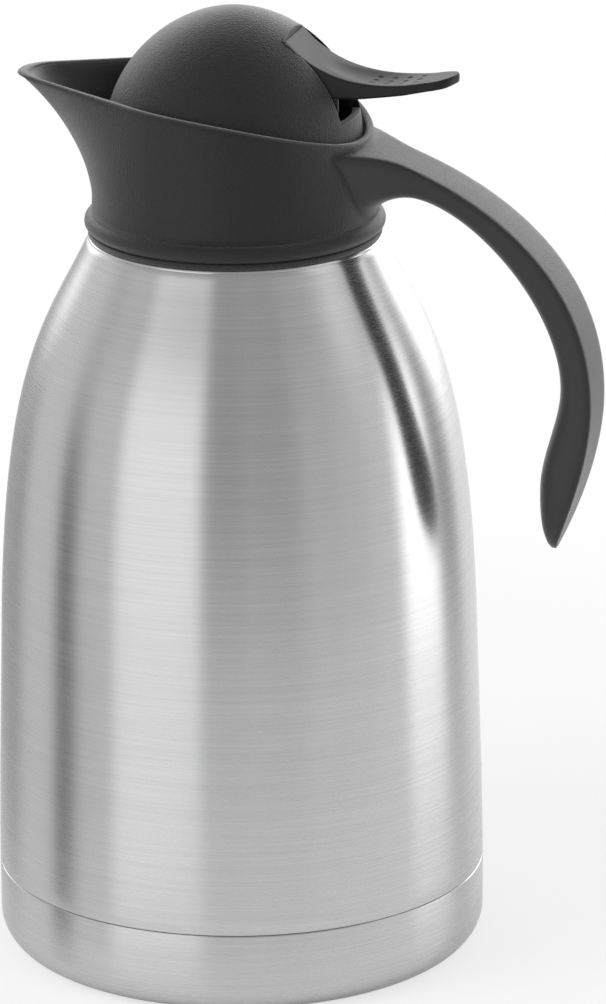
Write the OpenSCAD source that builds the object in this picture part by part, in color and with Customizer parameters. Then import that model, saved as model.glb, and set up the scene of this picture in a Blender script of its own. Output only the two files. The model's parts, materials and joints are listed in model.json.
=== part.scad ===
// Vacuum carafe with a lever-worked pour stopper.
// Millimetres. Z is up, the base rests on Z = 0, the handle is at +X and the spout at -X.

/* [Flask] */
// Radius of the steel body at the seam of the base cap
body_r = 73.9; // [66:0.1:95]
// Radius of the steel body where the shoulder starts
shoulder_r = 72.07; // [58:0.1:93]
// Height where the shoulder starts
shoulder_z = 100; // [80:1:140]
// Height of the ledge on which the neck ring sits
ledge_z = 221.6; // [180:0.1:270]
// How far the ledge stands out beyond the bead's foot
ledge_out = 0.55; // [0.3:0.05:2]
// Room between the two steel walls at the neck
neck_gap = 4; // [2.5:0.1:5]
// Height of the steel lip above the ledge
lip_h = 15.4; // [10:0.1:20]
// Thickness of the outer steel wall
shell_wall = 0.6; // [0.4:0.1:1.2]
// Thickness of the inner steel wall
liner_wall = 0.5; // [0.4:0.1:1]
// Inner radius of the flask's mouth
mouth_r = 31.5; // [26:0.1:38]
// Smallest vacuum gap between the two steel walls
vac_gap = 6; // [4:0.5:9]
// Height of the outside of the inner flask's bottom
liner_z = 31; // [30:0.5:40]
// Radius of the round at the inner flask's bottom
liner_round = 14; // [8:0.5:20]

/* [Base cap] */
// Height of the seam above the table
cap_h = 26; // [22:0.5:32]
// Radius of the round at the foot
foot_round = 10; // [6:0.5:14]
// Thickness of the base cap
cap_wall = 0.7; // [0.5:0.1:1]
// Width of the flat ring that touches the table
foot_w = 11; // [6:0.5:16]
// Depth of the recess under the base
recess_h = 4; // [2:0.5:6]

/* [Collar and spout] */
// Height of the bead at the foot of the collar
bead_h = 7; // [5:0.5:9]
// Height of the thin band under the bead
band_h = 1.9; // [1.2:0.1:3]
// How far the bead bulges out
bead_bulge = 1.95; // [1:0.05:2.5]
// How far the bead's edge stands out beyond the waist
bead_step = 0.45; // [0.2:0.05:1]
// How far the waist stands out beyond the rim
waist_out = 1.2; // [0.5:0.1:2]
// Height of the waist above the bead
waist_h = 5.4; // [3:0.1:8]
// Reach of the spout's tip from the axis
tip_x = 66.3; // [55:0.1:75]
// Radius of the spout's tip in plan
tip_r = 12.5; // [8:0.5:16]
// Height of the spout's tip above the bead
tip_h = 39.5; // [32:0.5:46]
// Drop of the rim from the spout to the back
rim_drop = 10.6; // [4:0.1:16]
// Rise of the rim along the spout, as a slope
rim_slope = 0.035; // [0:0.005:0.08]
// Thickness of the collar's wall at the rim
collar_wall = 2.2; // [1.8:0.1:2.6]
// Thickness of the collar's floor over the steel lip
floor_t = 2.4; // [2:0.1:3]
// Stations round the collar
collar_steps = 80; // [32:8:96]

/* [Handle] */
// Reach of the handle's outer face beyond the body
handle_reach = 36.7; // [30:0.1:50]
// Depth of the handle's lower tip below the bead's top
handle_drop = 97.8; // [85:0.1:120]
// Width of the handle
handle_w = 20.6; // [16:0.2:26]
// Width of the handle's rounded inner side
handle_in_w = 15.6; // [10:0.2:18]
// How far the handle flares to each side where it grows out of the collar
handle_flare = 11; // [6:0.5:14]
// Stations along the handle
handle_steps = 34; // [16:1:48]

/* [Stopper] */
// Depth of the plug below the bead's top
plug_depth = 22.6; // [18:0.2:30]
// Thickness of the plug's wall
plug_wall = 4.1; // [3.5:0.1:5]
// Radius of the port in the plug's bottom
port_r = 11; // [8:0.5:13]
// Height of the pour windows
window_h = 6.6; // [4:0.2:8]
// Number of pour windows
window_n = 3; // [1:1:3]
// Height of the gasket in its groove
gasket_h = 8.5; // [6:0.5:10]
// Thickness of the flange under the dome
flange_t = 2.8; // [2:0.1:4]

/* [Dome] */
// How far the dome stands out beyond the flask's mouth
dome_out = 6.5; // [5.8:0.1:9]
// Height of the dome above its base
dome_h = 39.2; // [32:0.2:44]
// Height of the dome's straight skirt
skirt_h = 2; // [1:0.5:5]
// Roundness of the dome's outline, where 2 is an ellipse
dome_n = 1.88; // [1.7:0.01:2.3]
// Thickness of the dome
dome_wall = 2.2; // [1.8:0.1:3]
// Width of the slot for the lever
slot_w = 22; // [18:0.2:26]
// Start of the slot behind the axis
slot_x = 18.2; // [16:0.1:22]
// Height of the slot's lower edge above the dome's base
slot_h = 8.2; // [5:0.1:12]

/* [Lever] */
// Reach of the lever's tip from the axis
lever_x = 68.4; // [60:0.1:76]
// Length of the lever's side skirts behind the pivot
skirt_l = 19.4; // [12:0.1:20]
// Depth of the lever's side skirts below the pivot
skirt_d = 9.8; // [6:0.1:10]
// Width of the lever near its tip
lever_tip_w = 14.3; // [10:0.1:18]
// Distance of the pivot behind the axis
pivot_x = 15; // [12:0.1:17]
// Height of the pivot above the dome's base
pivot_h = 20.9; // [17:0.1:24]
// Radius of the pivot pin
pivot_r = 1.5; // [1:0.1:2]
// Half of the lever's swing in degrees
half_swing = 8; // [5:0.5:8]

/* [Valve] */
// Radius of the valve stem
stem_r = 3; // [2:0.1:3.5]
// Radius of the valve disc
disc_r = 13.6; // [10:0.1:16]
// Radius of the cross pin in the stem
cross_r = 1.2; // [0.8:0.1:1.4]
// Mean radius of the spring's coil
coil_r = 8; // [7:0.1:10]
// Radius of the spring's wire
wire_r = 0.8; // [0.5:0.1:1]
// Turns of the spring
coil_n = 7; // [5:1:9]

/* [Clearances] */
// Gap round what fits together and stays put
fit_gap = 0.3; // [0.2:0.05:0.4]
// Radial clearance of pins and shafts that turn or slide
run_gap = 0.05; // [0.03:0.01:0.08]
// Gap between soft seals and what they touch
seal_gap = 0.2; // [0.15:0.05:0.3]
// Gap between the plug and the steel mouth
plug_gap = 2; // [1.5:0.1:3]
// Gap between the dome and the collar's rim
dome_gap = 1; // [0.6:0.1:2]
// Gap between the lever and each side of its slot
lever_gap = 0.5; // [0.3:0.1:1]

/* [Hidden] */
$fn = 96;
STEEL = "silver";
BLACK = "dimgray";
RUBBER = "slategray";

// Radii that follow the flask's mouth
neck_r = mouth_r + liner_wall + neck_gap;     // outer radius of the steel neck
dome_r = mouth_r + dome_out;
rim_r = dome_r + dome_gap + collar_wall;      // outer radius of the rim round the dome
waist_r = rim_r + waist_out;
bead_edge_r = waist_r + bead_step;
bead_r = bead_edge_r + bead_bulge;
ledge_r = bead_edge_r + ledge_out;            // radius of the shoulder where it meets the ledge
handle_x = body_r + handle_reach;
lever_w = slot_w - 2 * lever_gap;
// Heights that stack up from the ledge
bead_z = ledge_z + bead_h;          // top of the bead
lip_z = ledge_z + lip_h;            // top of the steel lip
seal_h = 1.3;                       // height of the mouth seal
floor_z = lip_z + seal_h + 0.2 + floor_t; // floor of the collar round the mouth
waist_z = bead_z + waist_h;
tip_z = bead_z + tip_h;
plug_z = bead_z - plug_depth;       // bottom of the plug
handle_z = bead_z - handle_drop;    // lower tip of the handle
window_z = floor_z + 0.6;           // sill of the pour windows
flange_z = window_z + window_h;     // underside of the flange
dome_z = flange_z + flange_t;       // base of the dome
pivot_z = dome_z + pivot_h;
plug_r = mouth_r - plug_gap;
chamber_r = plug_r - plug_wall;
arm = pivot_x / cos(half_swing);    // from the pivot to the cross pin
cross_z = pivot_z - pivot_x * tan(half_swing);
seat_z = plug_z + 4.5;              // top of the valve seat
disc_z = seat_z + 1;                // underside of the valve disc
plate_z = flange_z + 1;             // underside of the stopper plate
plate_t = 2.5;
// No screws on the pour side
screw_angles = [0, 110, -110];
screw_x = chamber_r - 3.4;

// ---- Curves ----
// Point on a cubic curve with control points p
function bez(p, t) = pow(1 - t, 3) * p[0] + 3 * t * pow(1 - t, 2) * p[1]
    + 3 * t * t * (1 - t) * p[2] + pow(t, 3) * p[3];
// Points of the cubic curve in n pieces
function curve(p, n) = [for (i = [0:n]) bez(p, i / n)];
// Points of an arc round c
function arc(c, r, a0, a1, n) = [for (i = [0:n]) let (a = a0 + (a1 - a0) * i / n)
    c + r * [cos(a), sin(a)]];
// Slope normal at point i of a list, pointing to -X for an upward path
function normal(p, i) = let (a = p[max(i - 1, 0)], b = p[min(i + 1, len(p) - 1)],
    d = (b - a) / norm(b - a))
    [-d[1], d[0]];
// The list moved sideways by d
function moved(p, d) = [for (i = [0:len(p) - 1]) p[i] + d * normal(p, i)];
function rev(p) = [for (i = [len(p) - 1:-1:0]) p[i]];

// Outline of the steel body from the seam up to the ledge
body_line = concat([[body_r - 0.05, cap_h], [(body_r + shoulder_r) / 2 + 0.25, (cap_h + shoulder_z) / 2]],
    curve([[shoulder_r, shoulder_z], [shoulder_r - 2.2, ledge_z - 38.5],
        [ledge_r + 14.2, ledge_z - 28.8], [ledge_r, ledge_z - 0.1]], 14));
// Outline of the inner flask, outside, from its bottom round up to its neck
liner_line = concat(
    arc([body_r - shell_wall - vac_gap - liner_round - 0.6, liner_z + liner_round], liner_round, -90,
        0, 6),
    curve([[shoulder_r - shell_wall - vac_gap, shoulder_z], [shoulder_r - vac_gap - 3, ledge_z - 45],
        [mouth_r + 14, ledge_z - 34], [mouth_r + liner_wall, ledge_z - 9]], 12),
    [[mouth_r + liner_wall, lip_z]]);

// Plan radius of the rim at angle a from the spout: tip arc, straight side, round back
tip_d = tip_x - tip_r;
side_a = acos((rim_r - tip_r) / tip_d);
tip_a = atan2(tip_r * sin(side_a), tip_d + tip_r * cos(side_a));
function rim_at(a) = abs(a) >= side_a ? rim_r
    : abs(a) >= tip_a ? rim_r / cos(side_a - abs(a))
    : tip_d * cos(a) + sqrt(pow(tip_r, 2) - pow(tip_d * sin(a), 2));
// Height of the rim where it is x behind the axis
function rim_z(x) = tip_z - rim_slope * (x + tip_x) - rim_drop * pow(max(0, x + 30) / 70, 2.67);

// ---- Shared shapes ----
module spin(points) { rotate_extrude() polygon(points); }
module ring(r0, r1, z0, z1) { spin([[r0, z0], [r1, z0], [r1, z1], [r0, z1]]); }
module cross_bar(r, l, x, z) { translate([x, 0, z]) rotate([90, 0, 0])
    cylinder(r = r, h = l, center = true); }
// Closed skin over rings of equal length; each ring is a list of points and the ends are capped
module loft(rings, closed = false) {
    m = len(rings[0]);
    n = len(rings);
    last = closed ? n - 1 : n - 2;
    sides = [for (i = [0:last], j = [0:m - 1]) let (a = i * m + j, b = i * m + (j + 1) % m,
        c = ((i + 1) % n) * m + (j + 1) % m, d = ((i + 1) % n) * m + j)
        each [[a, b, c], [a, c, d]]];
    ends = closed ? [] : [[for (j = [m - 1:-1:0]) j], [for (j = [0:m - 1]) (n - 1) * m + j]];
    polyhedron([for (r = rings) each r], concat(sides, ends), convexity = 8);
}

// ---- Flask ----
module outer_shell() {
    inner = moved(body_line, shell_wall);
    step_r = body_r - cap_wall - 0.1;
    color(STEEL) spin(concat(
        [[step_r - shell_wall, 16], [step_r, 16], [step_r, cap_h + 0.1]],
        [for (p = body_line) [p[0], p[1] + (p[1] == cap_h ? 0.1 : 0)]],
        [[neck_r, ledge_z], [neck_r, lip_z - 1.2], [neck_r - 1.2, lip_z],
            [mouth_r + liner_wall + 0.1, lip_z],
            [mouth_r + liner_wall + 0.1, lip_z - shell_wall], [neck_r - 1.3, lip_z - shell_wall],
            [neck_r - shell_wall, lip_z - 1.4], [neck_r - shell_wall, ledge_z - shell_wall],
            [ledge_r - 0.65 * shell_wall, ledge_z - shell_wall]],
        rev([for (p = inner) if (p[1] < ledge_z - 1.2 && p[1] > cap_h + 1) p]),
        [[step_r - shell_wall, cap_h - 1]]));
}
module outer_bottom() {
    r = body_r - cap_wall - shell_wall - 0.2;
    color(STEEL) spin([[0, 14.4], [r - 22, 15.4], [r - 4, 18], [r - 1, 18], [r - 1, 16.4], [r, 16.4],
        [r, 18.6], [r - 4.2, 18.6], [r - 22, 16], [0, 15]]);
}
module base_cap() {
    flat = body_r - foot_round;      // outer edge of the flat ring
    inner = flat - foot_w;
    c = [body_r - foot_round, foot_round];
    color(STEEL) spin(concat([[0, recess_h], [inner - 5, recess_h]],
        arc([inner - 5, recess_h - 2], 2, 90, 30, 3), [[inner, 0]],
        arc(c, foot_round, -90, 0, 8), [[body_r, cap_h], [body_r - cap_wall, cap_h]],
        arc(c, foot_round - cap_wall, 0, -90, 8), [[inner + 0.4, cap_wall]],
        arc([inner - 5, recess_h - 2], 2 + cap_wall, 30, 90, 3), [[0, recess_h + cap_wall]]));
}
module inner_liner() {
    inner = moved(liner_line, liner_wall);
    color(STEEL) spin(concat([[0, liner_z + 3]], curve([[20, liner_z + 3], [30, liner_z + 3],
        [35, liner_z], [liner_line[0][0] - 2, liner_z]], 4), liner_line,
        [[mouth_r, lip_z]], rev([for (i = [0:len(inner) - 2]) inner[i]]),
        [[liner_line[0][0] - 2, liner_z + liner_wall]],
        rev(curve([[20, liner_z + 3 + liner_wall], [30, liner_z + 3 + liner_wall],
            [35, liner_z + liner_wall], [liner_line[0][0] - 6, liner_z + liner_wall]], 4)),
        [[0, liner_z + 3 + liner_wall]]));
}
// Small cup of getter metal in the vacuum, on the inner flask's bottom
module getter() { color("gray") spin([[0, liner_z], [6, liner_z], [6, liner_z + 3], [5, liner_z + 3],
    [5, liner_z + 1], [0, liner_z + 1]]); }
// Solder that closes the evacuation hole of the outer bottom
module vacuum_seal() { color("gray") spin([[0, 12.9], [2, 13.3], [3.4, 14.4], [0, 14.4]]); }

// ---- Collar ----
module neck_ring() {
    h = (bead_h - band_h) / 2;
    r = (h * h + bead_bulge * bead_bulge) / (2 * bead_bulge);
    a = asin(h / r);
    color(BLACK) spin(concat([[neck_r + fit_gap, ledge_z], [bead_edge_r + 0.5, ledge_z],
        [bead_edge_r + 0.9, ledge_z + 0.4], [bead_edge_r + 0.9, ledge_z + band_h - 0.5],
        [bead_edge_r + 0.2, ledge_z + band_h]], arc([bead_r - r, bead_z - h], r, -a, a, 10),
        [[neck_r + fit_gap, bead_z]]));
}
// Outer face of the collar under a rim of radius r: its radius, and its slope, at the share u of the height
foot_ease = 0.06;
function wall_r(r, u) = waist_r + (r - waist_r)
    * (0.6 * (norm([u, foot_ease]) - foot_ease) / (1 - foot_ease) + 0.4 * u * u * u);
function wall_slope(r, h, u) = (r - waist_r)
    * (0.6 * u / norm([u, foot_ease]) / (1 - foot_ease) + 1.2 * u * u) / h;
// Section of the collar's wall at angle a from the spout, as radius and height
function collar_section(a) = let (
        r = rim_at(a), z = rim_z(-r * cos(a)), h = z - waist_z, n = 7,
        skirt = neck_r + fit_gap, hole = mouth_r + fit_gap,
        u0 = (floor_z + 1.2 - waist_z) / h, u1 = 1 - 0.9 / h,
        thick = function (u) collar_wall * sqrt(1 + pow(wall_slope(r, h, u), 2)),
        top = thick(1), foot_r = wall_r(r, u0) - thick(u0))
    concat([[skirt, bead_z], [bead_edge_r - 0.2, bead_z]],
        [for (i = [0:n]) let (u = u1 * i / n) [wall_r(r, u), waist_z + h * u]],
        [[r - 0.2 * top, z - 0.2], [r - 0.5 * top, z], [r - 0.8 * top, z - 0.2]],
        [for (i = [0:n]) let (u = u1 + (u0 - u1) * i / n) [wall_r(r, u) - thick(u), waist_z + h * u]],
        [[foot_r - 1.2, floor_z], [hole, floor_z], [hole, floor_z - floor_t],
            [skirt, floor_z - floor_t]]);
// Side view of the handle: its outer and inner edges as joined curves, each with its share of the length.
// bend_z is where the outer edge reaches furthest out.
bend_z = handle_z + 46.2;
handle_out = [[[rim_r - 1.7, bead_z + 23.6], [rim_r + 39.3, bead_z + 12.1], [handle_x, bend_z + 38.8],
        [handle_x, bend_z], 0, 0.6],
    [[handle_x, bend_z], [handle_x, bend_z - 14], [handle_x - 4.8, handle_z + 16.7],
        [handle_x - 12, handle_z], 0.6, 1]];
handle_in = [[[rim_r + 1.2, bead_z + 0.3], [rim_r + 1.6, bead_z + 4.1], [rim_r + 7.3, bead_z + 7.6],
        [rim_r + 13.3, bead_z + 7.6], 0, 0.12],
    [[rim_r + 13.3, bead_z + 7.6], [rim_r + 29, bead_z + 7.6], [handle_x - 10.8, bend_z + 29.6],
        [handle_x - 10.8, bend_z + 4], 0.12, 0.6],
    [[handle_x - 10.8, bend_z + 4], [handle_x - 10.8, bend_z - 6], [handle_x - 16.9, bend_z - 17],
        [handle_x - 16.9, bend_z - 27.5], 0.6, 0.832],
    [[handle_x - 16.9, bend_z - 27.5], [handle_x - 16.9, bend_z - 33.5],
        [handle_x - 16.7, handle_z + 4.4], [handle_x - 13.2, handle_z], 0.832, 1]];
// Point of joined curves at the share s
function along(parts, s) =
    let (i = min([for (k = [0:len(parts) - 1]) if (s <= parts[k][5]) k]), p = parts[i])
    bez(p, (s - p[4]) / (p[5] - p[4]));
// Half-width of the handle at the share s of its length: even, then rounded at the tip
function handle_half(s) = handle_w / 2 * sqrt(1 - pow(max(0, (s - 0.8) / 0.205), 2.6));
// Section of the handle at station i: flat outside, rounded inside, and flared onto the collar at its root
function handle_section(i) = let (
        u = i / handle_steps, s = min(1, u - 0.09 * sin(360 * u)),
        o = along(handle_out, s), n = along(handle_in, s),
        shares = [0.08, 0.35, 0.6, 0.76, 0.88, 0.96],
        w = handle_half(s), wi = w * handle_in_w / handle_w,
        half = function (k) (w + (wi - w) * min(1, k / 0.75))
            * (k > 0.6 ? sqrt(1 - pow((k - 0.6) / 0.4, 2.5)) : 1),
        at = function (k, y) let (p = o + (n - o) * k, t = max(0, min(1, (p[0] - rim_r) / 14)),
            side = y * (1 + (handle_flare - 6 * k) / w * pow(1 - t, 2.2)),
            back = waist_r - sqrt(pow(waist_r, 2) - pow(side, 2)))
            [p[0] - back * pow(1 - t, 1.5), -side, p[1]])
    concat([at(1, 0)], [for (k = rev(shares)) at(k, half(k))],
        [for (q = [0.93, 0.4, -0.4, -0.93]) at(0, w * q)], [for (k = shares) at(k, -half(k))]);
module collar() {
    color(BLACK) {
        loft([for (k = [0:collar_steps - 1])
            let (t = 180 - k / collar_steps * 360, a = t - 26 * sin(t))
            [for (p = collar_section(a)) [-p[0] * cos(a), p[0] * sin(a), p[1]]]], true);
        difference() {
            loft(concat([[for (p = handle_section(0)) [rim_r - 14, p[1], p[2]]]],
                [for (i = [0:handle_steps]) handle_section(i)]));
            translate([0, 0, bead_z - 40]) cylinder(r = rim_r - 1, h = 90, $fn = 64);
        }
    }
}
module mouth_seal() { color(RUBBER) ring(mouth_r + 1, neck_r - 0.4, lip_z, lip_z + seal_h); }

// ---- Stopper ----
gasket_z = plug_z + 14;              // bottom of the gasket's groove
groove_r = plug_r - 1.7;
module stopper_gasket() {
    z0 = gasket_z + 0.25;
    lip = gasket_h / 3;
    r = mouth_r - seal_gap;
    color(RUBBER) spin(concat([[groove_r + seal_gap, z0]],
        [for (i = [0:2]) each [[r - 0.8, z0 + i * lip], [r, z0 + (i + 0.3) * lip],
            [r, z0 + (i + 0.6) * lip],
            [r - 0.8, z0 + (i + 0.9) * lip]]], [[groove_r + seal_gap, z0 + gasket_h]]));
}
module stopper_body() {
    top = gasket_z + gasket_h + 0.5;
    lug_z = window_z - 12;           // foot of the screw bosses
    color(BLACK) difference() {
        union() {
            spin([[port_r, plug_z], [plug_r - 1.5, plug_z], [plug_r, plug_z + 1.5], [plug_r, gasket_z],
                [groove_r, gasket_z], [groove_r, top], [plug_r, top], [plug_r, flange_z],
                [dome_r - 0.5, flange_z], [dome_r - 0.5, dome_z], [dome_r - dome_wall - fit_gap, dome_z],
                [dome_r - dome_wall - fit_gap, dome_z + 2.6], [dome_r - dome_wall - 2.1, dome_z + 2.6],
                [dome_r - dome_wall - 2.1, dome_z - 0.6], [chamber_r + 2.2, dome_z - 0.6],
                [chamber_r + 2.2, plate_z], [chamber_r, plate_z], [chamber_r, plug_z + 4],
                [chamber_r - 1.5, plug_z + 2.5], [port_r + 3.2, plug_z + 2.5], [port_r + 2.2, seat_z],
                    [port_r, seat_z]]);
            for (a = screw_angles) rotate(a) translate([screw_x, 0, lug_z])
                cylinder(r = 3.6, h = plate_z - lug_z);
        }
        for (i = [0:window_n - 1]) rotate(180 + (i - (window_n - 1) / 2) * 32)
            translate([chamber_r - 2, -6.2, window_z]) cube([plug_wall + 4, 12.4, window_h - 0.6]);
        for (a = screw_angles) rotate(a) translate([screw_x, 0, plate_z - 8])
            cylinder(r = 1.45, h = 9, $fn = 32);
    }
}
module stopper_plate() {
    r = stem_r + run_gap;
    color(BLACK) difference() {
        spin([[r, plate_z - 3], [stem_r + 2.8, plate_z - 3], [stem_r + 2.8, plate_z],
            [chamber_r + 2, plate_z],
            [chamber_r + 2, plate_z + plate_t], [stem_r + 3.8, plate_z + plate_t],
                [stem_r + 3.8, plate_z + 6],
            [r + 2, plate_z + 6], [r + 2, plate_z + 3.8], [r, plate_z + 3.8]]);
        for (a = screw_angles) rotate(a) translate([screw_x, 0, plate_z - 1])
            cylinder(r = 1.6, h = 9, $fn = 32);
    }
}
module plate_screws() {
    color(STEEL) for (a = screw_angles) rotate(a) translate([screw_x, 0, plate_z + plate_t])
        rotate_extrude($fn = 32)
            polygon([[0, -9.5], [1.35, -9], [1.35, 0], [2.7, 0], [2.5, 1.1], [1.2, 1.6], [0, 1.6]]);
}
module stem_seal() {
    color(RUBBER) translate([0, 0, plate_z + 4.9]) rotate_extrude()
        translate([stem_r + 1.05, 0]) circle(r = 0.85, $fn = 32);
}
// Half outline of the dome, d inside the outer face
function dome_line(d, n) = concat([[dome_r - d, dome_z]],
    [for (i = [0:n]) let (a = 90 * i / n)
        [(dome_r - d) * pow(cos(a), 2 / dome_n), dome_z + skirt_h + (dome_h - skirt_h - d)
            * pow(sin(a), 2 / dome_n)]]);
module dome() {
    ear_y = slot_w / 2 + fit_gap;
    color(BLACK) difference() {
        union() {
            difference() {
                spin(concat(dome_line(0, 18), [[0, dome_z + dome_h - dome_wall]],
                    rev(dome_line(dome_wall, 18))));
                translate([slot_x, -slot_w / 2, dome_z + slot_h]) cube([40, slot_w, 60]);
            }
            intersection() {
                spin(concat(dome_line(dome_wall / 2, 18), [[0, dome_z]]));
                for (s = [-1, 1]) translate([pivot_x, s * (ear_y + 1.5), pivot_z]) rotate([90, 0, 0]) {
                    cylinder(r = 4, h = 3, center = true);
                    translate([0, 15, 0]) cube([8, 30, 3], center = true);
                }
            }
        }
        cross_bar(pivot_r + run_gap, slot_w + 12, pivot_x, pivot_z);
    }
}
module lever_pin() { color(STEEL) cross_bar(pivot_r, slot_w + 5.6, pivot_x, pivot_z); }

// ---- Lever ----
// Top and underside of the thumb tab, from its root to its tip
lever_top = curve([[slot_x + 0.4, pivot_z + 11], [slot_x + 9.4, pivot_z - 0.8],
    [pivot_x + 26, pivot_z - 3.6], [lever_x - 0.6, pivot_z + 2]], 12);
lever_under = [[lever_x, pivot_z + 1], [lever_x - 3, pivot_z - 0.9], [lever_x - 15, pivot_z - 3.7],
    [lever_x - 29, pivot_z - 5.4], [lever_x - 38, pivot_z - 5.7], [pivot_x + 8, pivot_z - 5.6]];
module lever() {
    hub_w = lever_w - 0.4;
    slot = 2 * (cross_r + run_gap);
    color(BLACK) difference() {
        union() {
            intersection() {
                rotate([90, 0, 0]) linear_extrude(2 * lever_w, center = true)
                    polygon(concat([[pivot_x - 1, pivot_z - 4.4], [pivot_x - 3, pivot_z + 3],
                        [slot_x + 0.4, pivot_z + 5.5]], lever_top, lever_under));
                linear_extrude(2 * pivot_z)
                    polygon(concat([[pivot_x - 6, -hub_w / 2], [slot_x + 3, -lever_w / 2],
                    [pivot_x + 24, -lever_w / 2 + 0.6], [lever_x - 15, -lever_w / 2 + 1.9]],
                    arc([lever_x - lever_tip_w / 2, 0], lever_tip_w / 2, -68, 68, 12),
                    [[lever_x - 15, lever_w / 2 - 1.9], [pivot_x + 24, lever_w / 2 - 0.6],
                    [slot_x + 3, lever_w / 2], [pivot_x - 6, hub_w / 2]]));
            }
            cross_bar(4.4, hub_w, pivot_x, pivot_z);
            // Side skirts that close the slot under the root
            for (s = [-1, 1]) translate([pivot_x, s * (lever_w / 2 - 1.4) - 0.75, pivot_z - skirt_d])
                cube([skirt_l, 1.5, skirt_d - 4]);
            // Forked arm round the valve stem, at rest half_swing below the level
            for (s = [-1, 1]) translate([pivot_x, s * (stem_r + 2.4), pivot_z])
                rotate([0, -half_swing, 0])
                translate([-arm - 3, -1.7, -3]) cube([arm + 3, 3.4, 6]);
        }
        translate([lever_x - 21.4, 0, pivot_z + 36.4]) sphere(r = 38);
        cross_bar(pivot_r + run_gap, lever_w + 4, pivot_x, pivot_z);
        translate([pivot_x, 0, pivot_z]) rotate([0, -half_swing, 0])
            translate([-arm - 1.5 - cross_r, -lever_w, -slot / 2])
                cube([2 * cross_r + 3, 2 * lever_w, slot]);
    }
}

// ---- Valve ----
stem_top = cross_z + 4;
clip_z = disc_z - 1.2;
module valve_stem() {
    color(STEEL) difference() {
        spin([[0, clip_z - 1.2], [stem_r - 0.4, clip_z - 1.2], [stem_r, clip_z - 0.8], [stem_r, clip_z],
            [stem_r - 0.5, clip_z], [stem_r - 0.5, clip_z + 1], [stem_r, clip_z + 1],
            [stem_r, stem_top - 0.6], [stem_r - 0.6, stem_top], [0, stem_top]]);
        cross_bar(cross_r + run_gap, 20, 0, cross_z);
    }
}
module valve_disc() {
    color(BLACK) spin([[stem_r + run_gap, disc_z], [port_r - 2.6, disc_z], [port_r - 2.6, disc_z + 1],
        [disc_r, disc_z + 1],
        [disc_r, disc_z + 2.4], [port_r - 4, disc_z + 3.4], [stem_r + 2, disc_z + 3.4],
            [stem_r + 2, disc_z + 6.5],
        [stem_r + run_gap, disc_z + 6.5]]);
}
module valve_washer() { color(RUBBER) ring(port_r - 2.4, disc_r - 0.2, seat_z + seal_gap, disc_z + 1); }
module stem_clip() {
    color(STEEL) difference() {
        ring(stem_r - 0.5 + run_gap, stem_r + 2.4, clip_z + 0.1, clip_z + 0.9);
        translate([0, -stem_r + 0.8, clip_z - 1]) cube([20, 2 * stem_r - 1.6, 4]);
    }
}
module cross_pin() { color(STEEL) cross_bar(cross_r, 2 * stem_r + 9, 0, cross_z); }
module valve_spring() {
    z0 = disc_z + 3.4 + wire_r + 0.3;
    z1 = plate_z - wire_r - 0.3;
    per = 12;
    n = coil_n * per;
    // Closed, flat end turns and even turns between them
    rise = function (u) let (e = 0.9 / coil_n, k = wire_r * 2.6 / (z1 - z0))
        u < e ? k * u / e : u > 1 - e ? 1 - k * (1 - u) / e : k + (1 - 2 * k) * (u - e) / (1 - 2 * e);
    color(STEEL) loft([for (i = [0:n]) let (a = -360 * i / per, z = z0 + (z1 - z0) * rise(i / n))
        [for (j = [0:5]) let (b = 60 * j, r = coil_r + wire_r * cos(b)) [r * cos(a), r * sin(a), z
            + wire_r * sin(b)]]]);
}

outer_shell();
outer_bottom();
base_cap();
inner_liner();
getter();
vacuum_seal();
neck_ring();
collar();
mouth_seal();
stopper_gasket();
stopper_body();
stopper_plate();
plate_screws();
stem_seal();
dome();
lever_pin();
lever();
valve_stem();
valve_disc();
valve_washer();
stem_clip();
cross_pin();
valve_spring();
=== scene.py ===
"""Looks of a thermal carafe: brushed steel body, black spout collar and handle, domed stopper with a thumb lever."""

import json
import math

import bmesh
import bpy
from bpy.props import FloatProperty, FloatVectorProperty, IntProperty, PointerProperty
from mathutils import Matrix, Vector


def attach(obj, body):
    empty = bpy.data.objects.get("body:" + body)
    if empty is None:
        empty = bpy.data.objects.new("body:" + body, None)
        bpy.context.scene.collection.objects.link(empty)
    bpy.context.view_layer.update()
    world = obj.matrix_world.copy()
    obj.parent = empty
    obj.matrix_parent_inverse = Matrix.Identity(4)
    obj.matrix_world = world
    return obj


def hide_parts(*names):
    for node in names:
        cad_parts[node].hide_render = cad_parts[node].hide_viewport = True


bl_info = {
    "name": "Thermal carafe looks",
    "version": (1, 0, 0),
    "blender": (4, 5, 0),
    "location": "3D View > Sidebar > Carafe",
    "description": "Builds the visible pieces, the finishes and the studio of a thermal carafe",
    "category": "Object",
}

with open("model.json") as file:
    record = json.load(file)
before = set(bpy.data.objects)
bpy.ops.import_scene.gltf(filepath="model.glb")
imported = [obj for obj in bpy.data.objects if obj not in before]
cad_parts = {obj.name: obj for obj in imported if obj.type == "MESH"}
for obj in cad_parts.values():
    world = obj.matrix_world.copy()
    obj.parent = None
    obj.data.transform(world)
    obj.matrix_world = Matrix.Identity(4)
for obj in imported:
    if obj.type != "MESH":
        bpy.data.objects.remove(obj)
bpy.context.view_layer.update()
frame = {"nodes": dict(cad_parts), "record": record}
MM = 0.001
RIGHT = (0.9613, 0.2756)  # the camera's right-hand side, in plan


# ---------------------------------------------------------------- sizes and colours


def length(name, description, default, lowest=0.0):
    """A length in metres, given here in millimetres."""
    return FloatProperty(name=name, description=description, default=default * MM, min=lowest,
                         unit="LENGTH", precision=5)


def colour(name, description, default):
    return FloatVectorProperty(name=name, description=description, default=default,
                               size=3, subtype="COLOR", min=0, max=1)


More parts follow.
